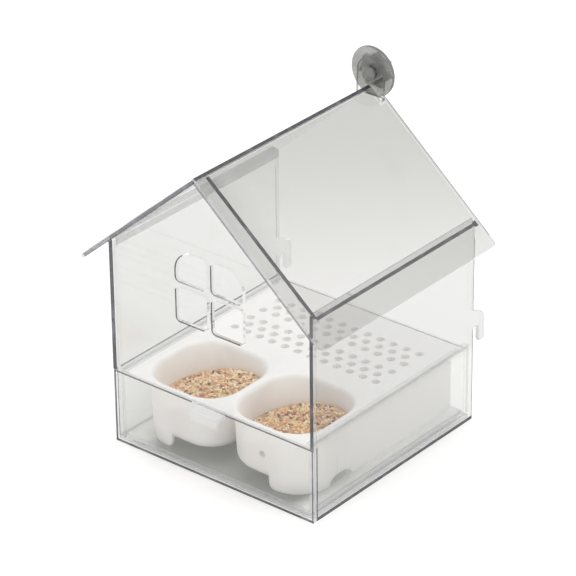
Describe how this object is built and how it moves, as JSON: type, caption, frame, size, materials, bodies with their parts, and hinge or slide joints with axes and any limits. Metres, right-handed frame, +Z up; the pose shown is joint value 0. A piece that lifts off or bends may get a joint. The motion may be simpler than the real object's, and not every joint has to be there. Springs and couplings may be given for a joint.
{
  "type": "bird cage feeder",
  "caption": "Clear house-shaped cage feeder: a drawer with a white bowl-and-grate insert slides out under a gable roof, with side hooks and a ridge clamp.",
  "frame": {"origin": "centre of the house's footprint, on the underside of its side sheets and floor plate", "axes": "+Z up; X across the gable, with +X to the right seen from the gable front; -Y is the gable front, where the drawer pulls out; +Y is the open side that faces the cage"},
  "size_m": [0.1808, 0.1746, 0.2228],
  "materials": {
    "clear_sheet": "clear polished sheet plastic",
    "drawer_sheet": "clear polished sheet plastic",
    "clamp_plastic": "smoky translucent moulded plastic",
    "white_plastic": "satin moulded plastic",
    "seed": "loose mixed seed"
  },
  "bodies": {
    "house": {"front_gable": "clear_sheet", "left_wall": "clear_sheet", "right_wall": "clear_sheet", "floor_plate": "clear_sheet", "left_rail": "clear_sheet", "right_rail": "clear_sheet", "roof_left": "clear_sheet", "roof_right": "clear_sheet", "ridge_tab": "clear_sheet", "clamp_bolt": "clamp_plastic"},
    "drawer": {"drawer_front": "drawer_sheet", "drawer_left_side": "drawer_sheet", "drawer_right_side": "drawer_sheet", "drawer_back": "drawer_sheet", "drawer_floor": "drawer_sheet"},
    "insert": {"feeding_insert": "white_plastic", "seed_left": "seed", "seed_right": "seed"},
    "washer": {"clamp_washer": "clamp_plastic"},
    "knob": {"clamp_knob": "clamp_plastic"}
  },
  "joints": [
    {"name": "drawer_slide", "type": "slide", "parent": "house", "child": "drawer", "axis": [0, -1, 0], "range_m": [0, 0.15]},
    {"name": "insert_lift", "type": "slide", "parent": "drawer", "child": "insert", "axis": [0, 0, 1], "range_m": [0, 0.05]},
    {"name": "washer_slide", "type": "slide", "parent": "house", "child": "washer", "axis": [0, 1, 0], "range_m": [0, 0.005]},
    {"name": "knob_turn", "type": "hinge", "parent": "washer", "child": "knob", "pos_m": [0, 0.0781, 0.207], "axis": [0, 1, 0], "range_deg": [0, 1440]}
  ],
  "couplings": [
    {"joint": "washer_slide", "follows": "knob_turn", "m_per_rad": 0.00019894}
  ]
}
